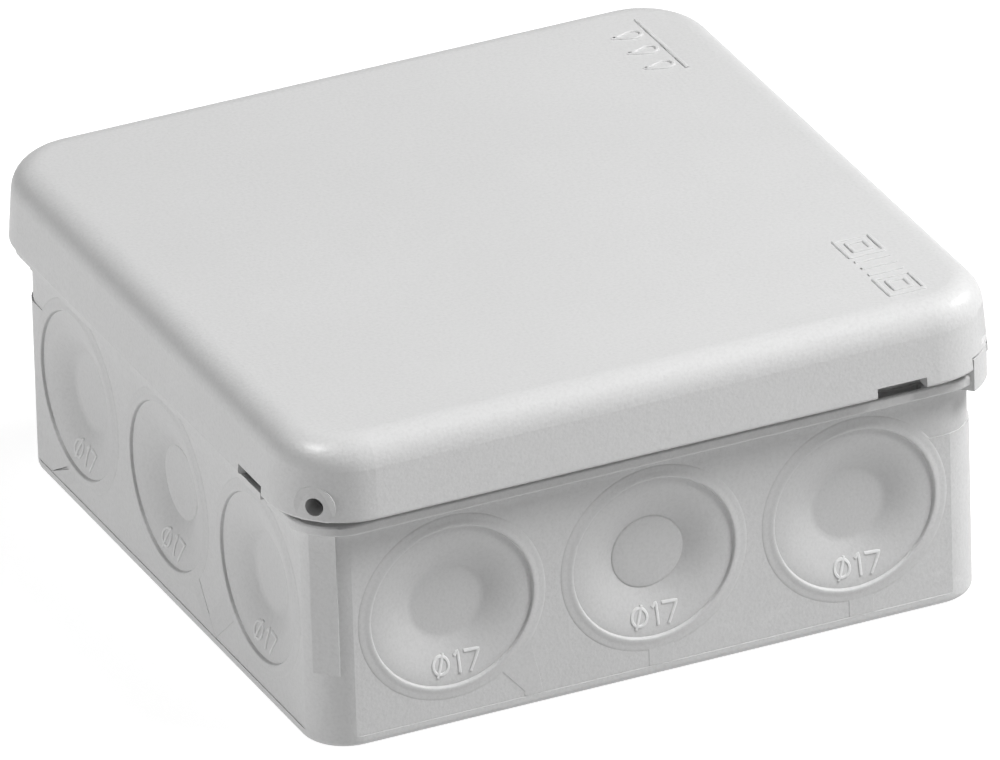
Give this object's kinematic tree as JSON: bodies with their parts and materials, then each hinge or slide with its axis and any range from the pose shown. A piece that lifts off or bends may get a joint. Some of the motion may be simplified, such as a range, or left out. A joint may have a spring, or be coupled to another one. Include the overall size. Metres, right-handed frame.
{
  "type": "electrical junction box",
  "caption": "Square surface junction box with a lift-off lid, soft cable entries on all four sides and a terminal block inside.",
  "frame": {"origin": "centre of the underside, in the plane of the wall behind the box", "axes": "+Z out of the wall towards the lid, the front wall faces -Y, +X to the right seen from the front"},
  "size_m": [0.086, 0.086, 0.0381],
  "materials": {
    "shell_plastic": "fine satin moulded",
    "lid_plastic": "fine satin moulded",
    "soft_entry": "soft matt",
    "soft_seal": "soft matt",
    "seal_foam": "foamed, matt",
    "terminal_plastic": "moulded, slightly glossy",
    "terminal_brass": "bright machined",
    "screw_steel": "zinc plated"
  },
  "bodies": {
    "base": {"base_shell": "shell_plastic", "entry_membrane_front_1": "soft_entry", "entry_membrane_front_2": "soft_entry", "entry_membrane_front_3": "soft_entry", "entry_membrane_right_1": "soft_entry", "entry_membrane_right_2": "soft_entry", "entry_membrane_right_3": "soft_entry", "entry_membrane_back_1": "soft_entry", "entry_membrane_back_2": "soft_entry", "entry_membrane_back_3": "soft_entry", "entry_membrane_left_1": "soft_entry", "entry_membrane_left_2": "soft_entry", "entry_membrane_left_3": "soft_entry", "fixing_hole_seals": "soft_seal", "terminal_housing": "terminal_plastic", "terminal_1": "terminal_brass", "terminal_2": "terminal_brass", "terminal_3": "terminal_brass", "terminal_4": "terminal_brass", "terminal_5": "terminal_brass", "block_screws": "screw_steel"},
    "lid": {"lid": "lid_plastic", "lid_seal": "seal_foam"},
    "clamp_screw_1a": {"clamp_screw_1a": "screw_steel"},
    "clamp_screw_1b": {"clamp_screw_1b": "screw_steel"},
    "clamp_screw_2a": {"clamp_screw_2a": "screw_steel"},
    "clamp_screw_2b": {"clamp_screw_2b": "screw_steel"},
    "clamp_screw_3a": {"clamp_screw_3a": "screw_steel"},
    "clamp_screw_3b": {"clamp_screw_3b": "screw_steel"},
    "clamp_screw_4a": {"clamp_screw_4a": "screw_steel"},
    "clamp_screw_4b": {"clamp_screw_4b": "screw_steel"},
    "clamp_screw_5a": {"clamp_screw_5a": "screw_steel"},
    "clamp_screw_5b": {"clamp_screw_5b": "screw_steel"}
  },
  "joints": [
    {"name": "lid_lift", "type": "slide", "parent": "base", "child": "lid", "axis": [0, 0, 1], "range_m": [0, 0.045]},
    {"name": "clamp_travel_1a", "type": "slide", "parent": "base", "child": "clamp_screw_1a", "axis": [0, 0, -1], "range_m": [0, 0.0022]},
    {"name": "clamp_travel_1b", "type": "slide", "parent": "base", "child": "clamp_screw_1b", "axis": [0, 0, -1], "range_m": [0, 0.0022]},
    {"name": "clamp_travel_2a", "type": "slide", "parent": "base", "child": "clamp_screw_2a", "axis": [0, 0, -1], "range_m": [0, 0.0022]},
    {"name": "clamp_travel_2b", "type": "slide", "parent": "base", "child": "clamp_screw_2b", "axis": [0, 0, -1], "range_m": [0, 0.0022]},
    {"name": "clamp_travel_3a", "type": "slide", "parent": "base", "child": "clamp_screw_3a", "axis": [0, 0, -1], "range_m": [0, 0.0022]},
    {"name": "clamp_travel_3b", "type": "slide", "parent": "base", "child": "clamp_screw_3b", "axis": [0, 0, -1], "range_m": [0, 0.0022]},
    {"name": "clamp_travel_4a", "type": "slide", "parent": "base", "child": "clamp_screw_4a", "axis": [0, 0, -1], "range_m": [0, 0.0022]},
    {"name": "clamp_travel_4b", "type": "slide", "parent": "base", "child": "clamp_screw_4b", "axis": [0, 0, -1], "range_m": [0, 0.0022]},
    {"name": "clamp_travel_5a", "type": "slide", "parent": "base", "child": "clamp_screw_5a", "axis": [0, 0, -1], "range_m": [0, 0.0022]},
    {"name": "clamp_travel_5b", "type": "slide", "parent": "base", "child": "clamp_screw_5b", "axis": [0, 0, -1], "range_m": [0, 0.0022]}
  ]
}
